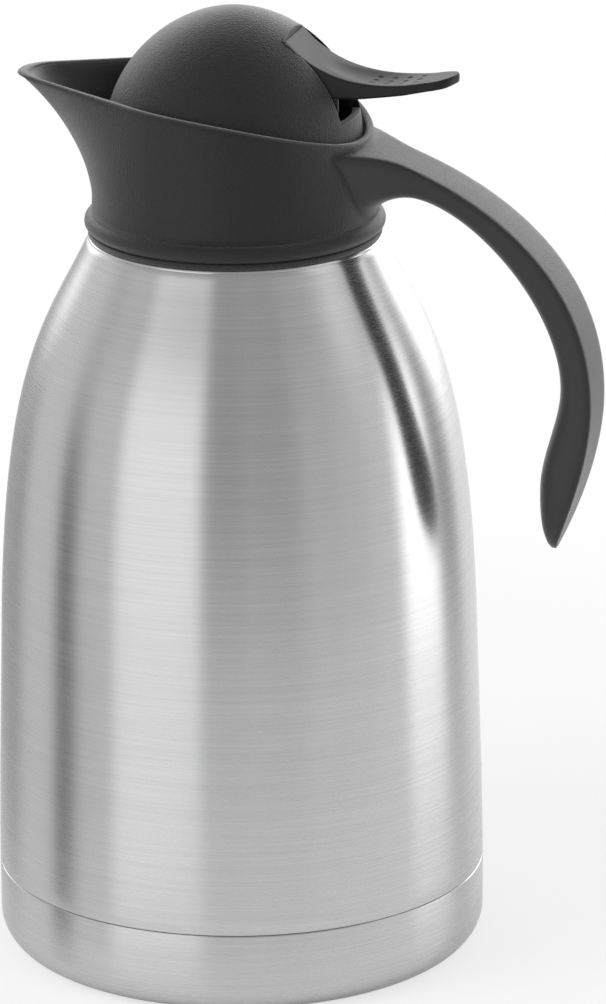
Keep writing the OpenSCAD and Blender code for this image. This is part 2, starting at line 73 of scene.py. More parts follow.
class CarafeFinishes(bpy.types.PropertyGroup):
    steel: colour("Steel", "Colour of the brushed body", (0.66, 0.66, 0.665))
    bare_steel: colour("Plain steel", "Colour of the unbrushed steel inside", (0.5, 0.5, 0.51))
    black: colour("Black", "Colour of the collar, handle and dome", (0.006, 0.006, 0.0063))
    satin: colour("Lever", "Colour of the smooth thumb lever", (0.011, 0.011, 0.0114))
    rubber: colour("Rubber", "Colour of the seals", (0.32, 0.32, 0.31))
    grain: length("Grain", "Width of one grain of the moulded black surface", 0.42)
    brushing: length("Brushing", "Height of one brushed line of the steel", 0.35)


class CarafeBody(bpy.types.PropertyGroup):
    radius: length("Radius", "Radius of the steel body at the seam", 73.9)
    seam: length("Seam", "Height of the seam over the table", 26)
    edge: length("Edge", "Rounding of the two edges at the seam", 0.4)
    ledge: length("Ledge", "Height of the ledge under the black bead", 221.6)
    steps: IntProperty(name="Steps", description="Steps round the body", default=192, min=48, max=384)


class CarafeCollar(bpy.types.PropertyGroup):
    rim: length("Rim", "Radius of the round back of the rim", 41.2)
    waist: length("Waist", "Radius of the collar at its waist", 42.4)
    wall: length("Wall", "Thickness of the rim", 2.2)
    spout: length("Spout", "Reach of the spout from the axis", 66.3)
    tip: length("Spout tip", "Plan radius of the spout's tip", 12.5)
    handle_width: length("Handle width", "Width of the handle's outer face", 20.6)
    inner_width: length("Handle inner width", "Width of the handle near its inner edge", 15.6)
    steps: IntProperty(name="Steps", description="Steps round the rim", default=264, min=64, max=400)


class CarafeDome(bpy.types.PropertyGroup):
    radius: length("Radius", "Radius of the dome at its foot", 38)
    height: length("Height", "Height of the dome over its foot", 39.2)
    wall: length("Wall", "Thickness of the dome", 2.2)
    slot: length("Slot", "Width of the lever's slot", 22)


class CarafeLever(bpy.types.PropertyGroup):
    reach: length("Reach", "Distance of the lever's tip from the axis", 68.4)
    dish: length("Dish", "Radius of the hollow for the thumb", 38)
    dot: length("Dot", "Radius of one grip dot", 0.75)


# ---------------------------------------------------------------- outlines, in millimetres


def bezier(points, steps, first=0):
    """Points along a cubic curve."""
    a, b, c, d = (Vector(p) for p in points)
    found = []
    for i in range(first, steps + 1):
        t = i / steps
        found.append(a * (1 - t) ** 3 + b * 3 * t * (1 - t) ** 2 + c * 3 * t * t * (1 - t) + d * t**3)
    return found


def arc(centre, radius, start, end, steps):
    """Points on an arc from start to end, in degrees."""
    turned = [math.radians(start + (end - start) * i / steps) for i in range(steps + 1)]
    return [Vector((centre[0] + radius * math.cos(a), centre[1] + radius * math.sin(a))) for a in turned]


def between(x, stops):
    """Value at x on straight lines through the stops."""
    for (x0, y0), (x1, y1) in zip(stops, stops[1:]):
        if x <= x1:
            return y0 + (y1 - y0) * max(0.0, min(1.0, (x - x0) / (x1 - x0)))
    return stops[-1][1]


# ---------------------------------------------------------------- mesh tools


def spun(points, steps, closed=True):
    """A line of (radius, height) points turned once round the carafe's axis."""
    bm = bmesh.new()
    verts = [bm.verts.new((p[0], 0, p[1])) for p in points]
    edges = [bm.edges.new(pair) for pair in zip(verts, verts[1:])]
    if closed:
        edges.append(bm.edges.new((verts[-1], verts[0])))
    bmesh.ops.spin(bm, geom=verts + edges, cent=(0, 0, 0), axis=(0, 0, 1), dvec=(0, 0, 0),
                   angle=math.tau, steps=steps, use_merge=True, use_duplicate=False)
    bmesh.ops.remove_doubles(bm, verts=bm.verts, dist=1e-4)
    return bm


def lay(bm, rings, wrap=False, layer=None, grain_and_painted_highlight=None):
    """A grid laid over rings of points. Its columns close on themselves; wrap also joins the last ring to the
    first, and otherwise the two ends are filled. grain_and_painted_highlight gives each column's value for the layer."""
    columns, rows = len(rings[0]), len(rings)
    before = set(bm.verts)
    bmesh.ops.create_grid(bm, x_segments=columns, y_segments=rows if wrap else rows - 1, size=1)
    made = sorted((v for v in bm.verts if v not in before), key=lambda v: (round(v.co.y, 5), round(v.co.x, 5)))
    for k, v in enumerate(made):
        row, column = divmod(k, columns + 1)
        v.co = rings[row % rows][column % columns]
        if layer is not None:
            v[layer] = grain_and_painted_highlight[column % columns]
    bmesh.ops.remove_doubles(bm, verts=made, dist=1e-4)
    if not wrap:
        live = [v for v in made if v.is_valid]
        bmesh.ops.holes_fill(bm, edges=list({e for v in live for e in v.link_edges if e.is_boundary}), sides=0)


def block(bm, low, high, edge=0.3):
    """A block between two corners with its edges rounded."""
    made = bmesh.ops.create_cube(bm, size=1)["verts"]
    low, high = Vector(low), Vector(high)
    bmesh.ops.scale(bm, vec=high - low, verts=made)
    bmesh.ops.translate(bm, vec=(low + high) / 2, verts=made)
    edges = list({e for v in made for e in v.link_edges})
    bmesh.ops.bevel(bm, geom=edges, offset=edge, segments=2, profile=0.5, affect="EDGES", material=-1)


def barrel(bm, centre, radius, width, steps=48, edge=0.3):
    """A short cylinder across the carafe, with rounded ends."""
    made = bmesh.ops.create_cone(bm, cap_ends=True, segments=steps,
                                 radius1=radius, radius2=radius, depth=width)["verts"]
    ends = list({e for v in made for e in v.link_edges if abs(e.verts[0].co.z - e.verts[1].co.z) < 1e-6})
    bmesh.ops.rotate(bm, cent=(0, 0, 0), matrix=Matrix.Rotation(math.pi / 2, 3, "X"), verts=made)
    bmesh.ops.translate(bm, vec=centre, verts=made)
    bmesh.ops.bevel(bm, geom=ends, offset=edge, segments=2, profile=0.5, affect="EDGES", material=-1)


def piece(bm, name, body, nodes, material, sharp=38):
    """Turns a bmesh in millimetres into a finished piece that rides on a body and stands for CAD nodes."""
    bmesh.ops.recalc_face_normals(bm, faces=bm.faces)
    bmesh.ops.scale(bm, vec=(MM, MM, MM), verts=bm.verts)
    mesh = bpy.data.meshes.new(name)
    bm.to_mesh(mesh)
    bm.free()
    if not mesh.polygons:
        raise RuntimeError(f"{name} has no faces")
    mesh.shade_smooth()
    mesh.set_sharp_from_angle(angle=math.radians(sharp))
    mesh.materials.append(material)
    made = bpy.data.objects.new(name, mesh)
    bpy.context.scene.collection.objects.link(made)
    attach(made, body)
    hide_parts(*nodes)
    return made


def grained(made):
    """Gives the whole piece the full grain."""
    grain = made.data.attributes.new("grain", "FLOAT", "POINT")
    for point in grain.data:
        point.value = 1.0


# ---------------------------------------------------------------- node tools


class Value:
    """A number in a node tree. Arithmetic on it adds Math nodes."""

    def __init__(self, nodes, socket):
        self.nodes, self.socket = nodes, socket

    def maths(self, operation, *others):
        values = {i: v for i, v in enumerate((self, *others))}
        return self.nodes.add("ShaderNodeMath", {"operation": operation}, values).value()

    def flipped(self, operation, other):
        return self.nodes.add("ShaderNodeMath", {"operation": operation}, {0: other, 1: self}).value()

    def __add__(self, other):
        return self.maths("ADD", other)

    def __sub__(self, other):
        return self.maths("SUBTRACT", other)

    def __rsub__(self, other):
        return self.flipped("SUBTRACT", other)

    def __mul__(self, other):
        return self.maths("MULTIPLY", other)

    def __truediv__(self, other):
        return self.maths("DIVIDE", other)

    def __pow__(self, other):
        return self.maths("POWER", other)

    def __abs__(self):
        return self.maths("ABSOLUTE")

    __radd__, __rmul__ = __add__, __mul__

    def eased(self, low, high):
        """0 below low and 1 above high, smooth between; high may be the lower one."""
        turned = high < low
        ends = {"Value": self, "From Min": min(low, high), "From Max": max(low, high),
                "To Min": float(turned), "To Max": float(not turned)}
        return self.nodes.add("ShaderNodeMapRange", {"interpolation_type": "SMOOTHSTEP"}, ends).value()


class Made:
    """A node that has been added."""

    def __init__(self, nodes, node):
        self.nodes, self.node = nodes, node

    def value(self, output=0):
        return Value(self.nodes, self.node.outputs[output])


class Nodes:
    """Adds nodes to a material's or the world's tree."""

    def __init__(self, owner):
        owner.use_nodes = True
        self.tree = owner.node_tree
        self.tree.nodes.clear()

    def add(self, kind, settings=None, inputs=None):
        node = self.tree.nodes.new(kind)
        for name, setting in (settings or {}).items():
            setattr(node, name, setting)
        for key, given in (inputs or {}).items():
            if isinstance(given, Made):
                given = given.value()
            if isinstance(given, Value):
                self.tree.links.new(given.socket, node.inputs[key])
            else:
                node.inputs[key].default_value = given
        return Made(self, node)

    def place(self, scale=(1, 1, 1)):
        """The piece's own coordinates in metres, stretched by scale."""
        own = self.add("ShaderNodeTexCoord").value("Object")
        return self.add("ShaderNodeMapping", None, {"Vector": own, "Scale": scale}).value()

    def noise(self, scale=(1, 1, 1), size=1.0, detail=2.0, rough=0.5):
        inputs = {"Vector": self.place(scale), "Scale": size, "Detail": detail, "Roughness": rough}
        return self.add("ShaderNodeTexNoise", None, inputs).value("Fac")

    def tint(self, mix, low, high):
        """A colour between low and high."""
        inputs = {"Factor": mix, 6: (*low, 1), 7: (*high, 1)}
        return self.add("ShaderNodeMix", {"data_type": "RGBA"}, inputs).value(2)

    def bump(self, height, strength, distance, rounding=0):
        """Relief on the surface. With a rounding, edges and joins are first blended over that radius."""
        inputs = {"Height": height, "Strength": strength, "Distance": distance}
        if rounding:
            inputs["Normal"] = self.add("ShaderNodeBevel", {"samples": 6}, {"Radius": rounding})
        return self.add("ShaderNodeBump", None, inputs).value()

    def finish(self, **inputs):
        inputs = {name.replace("_", " "): given for name, given in inputs.items()}
        shader = self.add("ShaderNodeBsdfPrincipled", None, inputs)
        self.add("ShaderNodeOutputMaterial", None, {"Surface": shader})


def shade(rgb, factor):
    return tuple(channel * factor for channel in rgb)


def fresh(name):
    """A new material. Its name is kept apart from the plain ones that come with the CAD nodes."""
    return bpy.data.materials.new("finish_" + name)


def found(name):
    material = bpy.data.materials.get("finish_" + name)
    if material is None:
        raise RuntimeError(f"the finish {name} isn't made yet")
    return material


# ---------------------------------------------------------------- finishes


def brushed_steel(look):
    """Steel brushed round the body: fine level lines that catch and lose the light."""
    made = fresh("brushed_steel")
    nodes = Nodes(made)
    lines = nodes.noise((22, 22, 1 / look.brushing), 1.0, 3.0, 0.62)
    broad = nodes.noise((12, 12, 420), 1.0, 2.0)
    cloud = nodes.noise((16, 16, 10), 1.0, 2.0)
    tone = lines * 0.72 + broad * 0.2 + cloud * 0.08
    rough = lines * 0.07 + cloud * 0.03 + 0.22
    nodes.finish(Base_Color=nodes.tint(tone.eased(0.28, 0.74), shade(look.steel, 0.93), shade(look.steel, 1.07)),
                 Metallic=1.0, Roughness=rough, Anisotropic=0.9, Anisotropic_Rotation=0.25,
                 Normal=nodes.bump(lines, 0.12, 0.00003))
    return made


def plain_steel(look, name, gain, rough):
    """Drawn or turned steel with faint marks from the tool."""
    made = fresh(name)
    nodes = Nodes(made)
    marks = nodes.noise((60, 60, 900), 1.0, 3.0)
    cloud = nodes.noise((30, 30, 30), 1.0, 2.0)
    nodes.finish(Base_Color=nodes.tint(marks, shade(look.bare_steel, 0.86 * gain), shade(look.bare_steel, 1.1 * gain)),
                 Metallic=1.0, Roughness=cloud * 0.12 + marks * 0.05 + rough, Normal=nodes.bump(marks, 0.1, 0.00004))
    return made


def moulded(look, name, base, grain, depth, rough, gloss, rounding):
    """Black moulding with a spark-eroded grain. Where the piece's grain attribute is low it is smoother, and paler as a
    painted highlight.
    """
    made = fresh(name)
    nodes = Nodes(made)
    share = nodes.add("ShaderNodeAttribute", {"attribute_name": "grain"}).value("Fac")
    pits = nodes.noise((1, 1, 1), 1 / grain, 1.5, 0.45)
    fine = nodes.noise((1, 1, 1), 2.6 / grain, 2.0, 0.5)
    cloud = nodes.noise((22, 22, 22), 1.0, 2.0)
    texture = pits * 0.75 + fine * 0.25
    # Where the grain attribute is low the colour turns up to six times paler: a painted highlight on the collar's rim
    # and the handle's sides.
    tone = texture.eased(0.4, 0.72) * 0.22 + cloud * 0.05 + (1 - share) * 0.65
    height = texture * (share * 0.85 + 0.15)
    nodes.finish(Base_Color=nodes.tint(tone, shade(base, 0.7), shade(base, 6)),
                 Roughness=cloud * 0.06 + fine * 0.08 + rough, Specular_IOR_Level=gloss,
                 Sheen_Weight=0.5, Sheen_Roughness=0.4, Normal=nodes.bump(height, 0.85, depth, rounding))
    return made


def lever_satin(look, lever):
    """Smooth satin black with the grip dots sunk in the thumb's hollow, their shade painted darker."""
    made = fresh("satin_lever")
    nodes = Nodes(made)
    own = nodes.add("ShaderNodeSeparateXYZ", None, {"Vector": nodes.place((1000, 1000, 1000))})
    x, y, z = (own.value(i) for i in range(3))
    first, rows_gap, lines_gap = 43.6, 4.4, 3.6
    row = ((x - first) / rows_gap).maths("ROUND").maths("MAXIMUM", 0.0).maths("MINIMUM", 3.0)
    line = (y / lines_gap).maths("ROUND").maths("MAXIMUM", -1.0).maths("MINIMUM", 1.0)
    away = ((x - row * rows_gap - first - line * 0.5) ** 2.0 + (y - line * lines_gap) ** 2.0) ** 0.5
    dot = away.eased(lever.dot / MM + 0.28, lever.dot / MM - 0.12) * z.eased(267.5, 269.0)
    fine = nodes.noise((1, 1, 1), 2600, 2.0)
    cloud = nodes.noise((40, 40, 40), 1.0, 2.0)
    # The grip dots are painted four times darker than the satin: painted shade in the dimples, besides their sunk bump.
    nodes.finish(Base_Color=nodes.tint(dot * 0.9 + cloud * 0.1, look.satin, shade(look.satin, 0.25)),
                 Roughness=cloud * 0.06 + fine * 0.05 + dot * 0.2 + 0.4, Specular_IOR_Level=0.3,
                 Normal=nodes.bump(fine * 0.05 - dot, 0.9, 0.0004))
    return made


def rubber(look):
    """Matt silicone with a faint bloom."""
    made = fresh("seal_rubber")
    nodes = Nodes(made)
    cloud = nodes.noise((90, 90, 90), 1.0, 3.0)
    fine = nodes.noise((1, 1, 1), 1800, 2.0)
    nodes.finish(Base_Color=nodes.tint(cloud, shade(look.rubber, 0.85), shade(look.rubber, 1.1)),
                 Roughness=cloud * 0.12 + 0.62, Normal=nodes.bump(fine, 0.3, 0.00008))
    return made


# ---------------------------------------------------------------- pieces


class CARAFE_OT_finishes(bpy.types.Operator):
    """Make the finishes and give the carried CAD nodes theirs"""

    bl_idname = "carafe.finishes"
    bl_label = "Finishes"

    def execute(self, context):
        look, lever = context.scene.carafe_finishes, context.scene.carafe_lever
        brushed_steel(look)
        plain_steel(look, "plain_steel", 1.0, 0.3)
        plain_steel(look, "bright_steel", 1.3, 0.16)
        moulded(look, "black_moulding", look.black, look.grain, 0.0003, 0.34, 0.42, 0.0035)
        moulded(look, "grained_dome", look.black, look.grain * 1.15, 0.0004, 0.34, 0.42, 0.0004)
        lever_satin(look, lever)
        rubber(look)
        for row in frame["record"]["subparts"]:
            data = frame["nodes"][row["node"]].data
            slot = "plain_steel" if row["material_slot"] == "brushed_body" else row["material_slot"]
            data.materials.clear()
            data.materials.append(found(slot))
        return {"FINISHED"}


class CARAFE_OT_body_shell(bpy.types.Operator):
    """Spin the brushed outer wall from the seam to the lip of the mouth"""

    bl_idname = "carafe.body_shell"
    bl_label = "Body shell"

    def execute(self, context):
        size = context.scene.carafe_body
        r, seam, edge, ledge = (v / MM for v in (size.radius, size.seam, size.edge, size.ledge))
        corner = r - 30.5
        outside = bezier([(r, seam + 0.1), (r - 0.15, 50), (72.7, 76), (72.07, 100)], 14, 1)
        outside += bezier([(72.07, 100), (69.9, ledge - 38.5), (corner + 14.2, ledge - 28.8),
                           (corner + 0.6, ledge - 1)], 46, 1)
        outside += arc((corner - 0.5, ledge - 1), 0.98, 5, 90, 5)
        neck = [Vector(p) for p in ((36, ledge), (36, 235.8), (35.6, 236.6), (34.8, 237), (32.1, 237), (32.1, 236.4),
                                    (34.7, 236.4), (35.4, 235.6), (35.4, ledge - 0.6), (corner - 0.6, ledge - 0.7))]
        inside = [Vector((p[0] - 0.6, p[1])) for p in reversed(outside[1:-8:2])]
        foot = [Vector(p) for p in ((r - 1.4, seam + 0.6), (r - 1.4, 16), (r - 0.8, 16), (r - 0.8, seam + 0.1))]
        line = foot + arc((r - edge, seam + 0.1 + edge), edge, -90, -5, 4) + outside + neck + inside
        bm = spun(line, size.steps)
        piece(bm, "body_shell", "flask", ["outer_shell"], found("brushed_steel"))
        return {"FINISHED"}


class CARAFE_OT_base_cap(bpy.types.Operator):
    """Spin the steel cup under the seam, with its foot ring and recess"""

    bl_idname = "carafe.base_cap"
    bl_label = "Base cap"

    def execute(self, context):
        size = context.scene.carafe_body
        r, seam, edge = size.radius / MM, size.seam / MM, size.edge / MM
        line = [Vector((0, 4)), Vector((20, 4))] + arc((47.9, 2), 2, 90, 12, 7) + arc((53.6, 0.7), 0.7, 200, 270, 4)
        line += arc((r - 10, 10), 10, -90, 0, 18) + [Vector((r, seam - edge))]
        line += arc((r - edge, seam - edge), edge, 0, 90, 4) + [Vector((r - 0.7, seam))]
        line += arc((r - 10, 10), 9.3, 0, -90, 12) + [Vector((53.4, 0.7)), Vector((48.5, 4.7)), Vector((0, 4.7))]
        bm = spun(line, size.steps, closed=False)
        piece(bm, "base_cap_skin", "flask", ["base_cap"], found("brushed_steel"))
        return {"FINISHED"}


class CARAFE_OT_bead(bpy.types.Operator):
    """Spin the black bead that clamps the collar: a thin band under a round bulge"""

    bl_idname = "carafe.bead"
    bl_label = "Bead"

    def execute(self, context):
        size = context.scene.carafe_body
        foot = size.ledge / MM
        edge, height = 42.85, 5.1
        radius = ((height / 2) ** 2 + 1.95**2) / (2 * 1.95)
        half = math.degrees(math.asin(height / 2 / radius))
        line = [Vector((36.3, foot)), Vector((edge + 0.4, foot))] + arc((edge + 0.4, foot + 0.5), 0.5, -90, 0, 4)
        line += arc((edge + 0.4, foot + 1.3), 0.5, 0, 90, 4) + [Vector((edge, foot + 1.9))]
        line += arc((edge + 1.95 - radius, foot + 1.9 + height / 2), radius, -half, half, 18)
        line += [Vector((36.3, foot + 7))]
        bm = spun(line, size.steps)
        grained(piece(bm, "bead", "flask", ["neck_ring"], found("black_moulding"), 30))
        return {"FINISHED"}


class CARAFE_OT_collar(bpy.types.Operator):
    """Lay the collar's wall and spout, and the open handle that grows out of it"""

    bl_idname = "carafe.collar"
    bl_label = "Collar and handle"

    def execute(self, context):
        size = context.scene.carafe_collar
        self.rim, self.waist, self.wall = size.rim / MM, size.waist / MM, size.wall / MM
        self.reach, self.tip = size.spout / MM, size.tip / MM
        self.wide, self.narrow = size.handle_width / MM / 2, size.inner_width / size.handle_width
        bm = bmesh.new()
        layer = bm.verts.layers.float.new("grain")
        rings = []
        for k in range(size.steps):
            t = math.pi - k / size.steps * math.tau
            a = t - math.radians(26) * math.sin(t)
            line, grain_and_painted_highlight = self.section(a)
            rings.append([Vector((-r * math.cos(a), r * math.sin(a), z)) for r, z in line])
        lay(bm, rings, True, layer, grain_and_painted_highlight)
        stations, grain_and_painted_highlight = self.handle()
        lay(bm, stations, False, layer, grain_and_painted_highlight)
        piece(bm, "collar_moulding", "flask", ["collar"], found("black_moulding"), 32)
        return {"FINISHED"}

    def rim_radius(self, a):
        """Plan radius of the rim at angle a from the spout: tip arc, straight side, round back."""
        gap = self.reach - self.tip
        side = math.acos((self.rim - self.tip) / gap)
        nose = math.atan2(self.tip * math.sin(side), gap + self.tip * math.cos(side))
        if abs(a) >= side:
            return self.rim
        if abs(a) >= nose:
            return self.rim / math.cos(side - abs(a))
        return gap * math.cos(a) + math.sqrt(self.tip**2 - (gap * math.sin(a)) ** 2)

    def rim_height(self, x):
        return 268.1 - 0.035 * (x + 66.3) - 10.6 * (max(0.0, x + 30) / 70) ** 2.67

    def wall_radius(self, r, u):
        ease = 0.06
        return self.waist + (r - self.waist) * (0.6 * (math.hypot(u, ease) - ease) / (1 - ease) + 0.4 * u**3)

    def thickness(self, r, height, u):
        slope = (r - self.waist) * (0.6 * u / math.hypot(u, 0.06) / 0.94 + 1.2 * u * u) / height
        return self.wall * math.sqrt(1 + slope * slope)

    def section(self, a):
        """Section of the wall at angle a, and each point's grain value; low values also paint the point paler, a
        painted highlight.
        """
        r = self.rim_radius(a)
        z = self.rim_height(-r * math.cos(a))
        foot = 234.0
        height = z - foot
        low, high = (242.1 - foot) / height, 1 - 0.75 / height
        top = self.thickness(r, height, 1)
        line, grain_and_painted_highlight = [(36.3, 228.6), (42.65, 228.6), (42.55, 229.6)], [0.3, 1, 1]
        for i in range(23):
            u = high * (i / 22) ** 1.15
            line.append((self.wall_radius(r, u), foot + height * u))
            grain_and_painted_highlight.append(1)
        for deg in (20, 42, 66):
            t = math.radians(deg)
            line.append((r - 0.7 * (1 - math.cos(t)), z - 0.75 + 0.75 * math.sin(t)))
            grain_and_painted_highlight.append(0.6)
        # The rim's top gets low grain values, so it is painted paler: a painted highlight along the rim.
        line += [(r - 0.7, z), (r - top / 2, z + 0.02), (r - top + 0.7, z)]
        grain_and_painted_highlight += [0.4, 0.3, 0.4]
        for deg in (66, 42, 20):
            t = math.radians(deg)
            line.append((r - top + 0.7 * (1 - math.cos(t)), z - 0.75 + 0.75 * math.sin(t)))
            grain_and_painted_highlight.append(0.6)
        for i in range(15):
            u = high + (low - high) * i / 14
            line.append((self.wall_radius(r, u) - self.thickness(r, height, u), foot + height * u))
            grain_and_painted_highlight.append(0.8)
        inner = self.wall_radius(r, low) - self.thickness(r, height, low)
        line += [(inner - 0.5, 241.2), (inner - 1.4, 240.9), (31.8, 240.9), (31.8, 238.5), (36.3, 238.5), (36.3, 234)]
        grain_and_painted_highlight += [0.8, 0.8, 0.5, 0.3, 0.3, 0.3]
        return line, grain_and_painted_highlight

    def side_view(self, s):
        """Outer and inner edge of the handle at the share s of its length."""
        outer = (((39.5, 252.2), (80.5, 240.7), (110.57, 215.8), (110.57, 177), 0, 0.6),
                 ((110.57, 177), (110.57, 163), (105.8, 147.5), (98.6, 130.8), 0.6, 1))
        inner = (((42.4, 228.9), (42.8, 232.7), (48.5, 236.2), (54.5, 236.2), 0, 0.12),
                 ((54.5, 236.2), (70.2, 236.2), (99.8, 206.6), (99.8, 181), 0.12, 0.6),
                 ((99.8, 181), (99.8, 171), (93.7, 160), (93.7, 149.5), 0.6, 0.832),
                 ((93.7, 149.5), (93.7, 143.5), (93.9, 135.2), (97.4, 130.8), 0.832, 1))
        ends = []
        for parts in (outer, inner):
            part = next(p for p in parts if s <= p[5])
            t = (s - part[4]) / (part[5] - part[4])
            ends.append(bezier([part[0], part[1], part[2], part[3]], 1000)[round(t * 1000)])
        return ends

    def handle(self):
        """Stations of the handle, each a ring of points, and each point's grain value; low values also paint the point
        paler, a painted highlight.
        """
        half = [(0, 0.0), (0, 0.3), (0, 0.6), (0, 0.82), (0, 0.915)]
        half += [(0.016, 0.963), (0.045, 0.99), (0.085, 1.0)]
        half += [(k, 1 + (self.narrow - 1) * min(1, k / 0.75)) for k in (0.18, 0.3, 0.42, 0.54, 0.62)]
        for deg in (14, 27, 40, 52, 63, 73, 82, 90):
            turn = math.radians(deg)
            k = 0.6 + 0.4 * math.sin(turn) ** 0.8
            if k > 0.64:
                half.append((k, (1 + (self.narrow - 1) * min(1, k / 0.75)) * math.cos(turn)))
        ring = half[:-1] + [(1, 0)] + [(k, -q) for k, q in reversed(half[1:-1])]
        # Towards the handle's inner edge the values fall, painting the sides paler: a painted highlight. The outer face
        # keeps the full grain.
        grain_and_painted_highlight = [1 if k < 0.02 else max(0.12, 0.45 - k) for k, q in ring]
        stations = []
        count = 118
        for i in range(count + 1):
            u = i / count
            s = min(1, u - 0.09 * math.sin(math.tau * u))
            if s > 0.94:
                s = 0.94 + 0.06 * math.sin((s - 0.94) / 0.06 * math.pi / 2)
            out, inn = self.side_view(s)
            wide = self.wide * math.sqrt(max(0.0, 1 - max(0, (s - 0.8) / 0.2004) ** 2.6))
            points = []
            for k, q in ring:
                x, z = out + (inn - out) * k
                z += 0.35 * (1 - q * q) * max(0, 1 - 12 * k) * min(1, s / 0.2)
                t = max(0, min(1, (x - self.rim) / 14))
                side = wide * q * (1 + (11 - 6 * k) / self.wide * (1 - t) ** 2.2)
                back = self.waist - math.sqrt(self.waist**2 - side**2)
                x -= back * (1 - t) ** 1.5
                reach = math.hypot(x, side)
                if reach < self.waist - 1.2:
                    x, side = x * (self.waist - 1.2) / reach, side * (self.waist - 1.2) / reach
                points.append(Vector((x, side, z)))
            stations.append(points)
        return stations, grain_and_painted_highlight


class CARAFE_OT_dome(bpy.types.Operator):
    """Spin the dome, cut the lever's slot through it, and add its lip and the ears for the pin"""

    bl_idname = "carafe.dome"
    bl_label = "Dome"

    def execute(self, context):
        size = context.scene.carafe_dome
        self.radius, self.height, wall = size.radius / MM, size.height / MM, size.wall / MM
        half = size.slot / MM / 2
        front, sill = 18.2, 259.1
        outside, inside = self.outline(0), self.outline(wall)
        bm = spun([Vector((self.radius, 250.9))] + outside + [Vector((0, outside[-1][1] - wall))]
                  + list(reversed(inside[:-1])) + [Vector((self.radius - wall, 250.9))], 160)
        for point, normal in (((0, half, 0), (0, 1, 0)), ((0, -half, 0), (0, -1, 0)),
                              ((front, 0, 0), (1, 0, 0)), ((0, 0, sill), (0, 0, 1))):
            bmesh.ops.bisect_plane(bm, geom=bm.verts[:] + bm.edges[:] + bm.faces[:], dist=1e-4,
                                   plane_co=point, plane_no=normal)
        gone = [f for f in bm.faces for c in [f.calc_center_median()] if c.x > front and abs(c.y) < half and c.z > sill]
        bmesh.ops.delete(bm, geom=gone, context="FACES")
        bmesh.ops.bridge_loops(bm, edges=[e for e in bm.edges if e.is_boundary])
        self.lip(bm, front, half)
        for side in (1, -1):
            barrel(bm, (15, side * 12.8, 271.8), 4, 3)
            block(bm, (11, side * 12.8 - 1.5, 272), (19, side * 12.8 + 1.5, 277.4))
        made = piece(bm, "dome_cap", "stopper", ["dome"], found("grained_dome"), 34)
        grained(made)
        return {"FINISHED"}

    def outline(self, inset):
        """Half outline of the dome from its skirt up to its top."""
        line = []
        for i in range(31):
            a = math.radians(90 * i / 30)
            r = (self.radius - inset) * max(0.0, math.cos(a)) ** (2 / 1.88)
            line.append(Vector((r if i < 30 else 0, 252.9 + (self.height - 2 - inset) * math.sin(a) ** (2 / 1.88))))
        return line

    def surface(self, x, y):
        """Height of the dome's outer face."""
        share = min(1, math.hypot(x, y) / self.radius)
        return 252.9 + (self.height - 2) * (1 - share**1.88) ** (1 / 1.88)

    def lip(self, bm, front, half):
        """A thin raised edge along the front of the slot, turned down at its near corner."""
        path = [(front + d, -half) for d in (5, 3, 1.4)] + [(front - 0.1, -half + 0.3)]
        path += [(front - 0.3, half * k / 8) for k in range(-7, 8)]
        path += [(front - 0.1, half - 0.3), (front + 0.5, half - 0.1)]
        points = [Vector((x, y, self.surface(x, y) - 0.25)) for x, y in path]
        rings = []
        for i, p in enumerate(points):
            along = (points[min(i + 1, len(points) - 1)] - points[max(i - 1, 0)]).normalized()
            up = Vector((p.x, p.y, 24)).normalized()
            across = along.cross(up).normalized()
            up = across.cross(along)
            thick = 0.5 * min(1, (1 + min(i, len(points) - 1 - i)) / 3)
            rings.append([p + thick * (math.cos(a) * across + math.sin(a) * up)
                          for a in (math.tau * k / 12 for k in range(12))])
        lay(bm, rings)


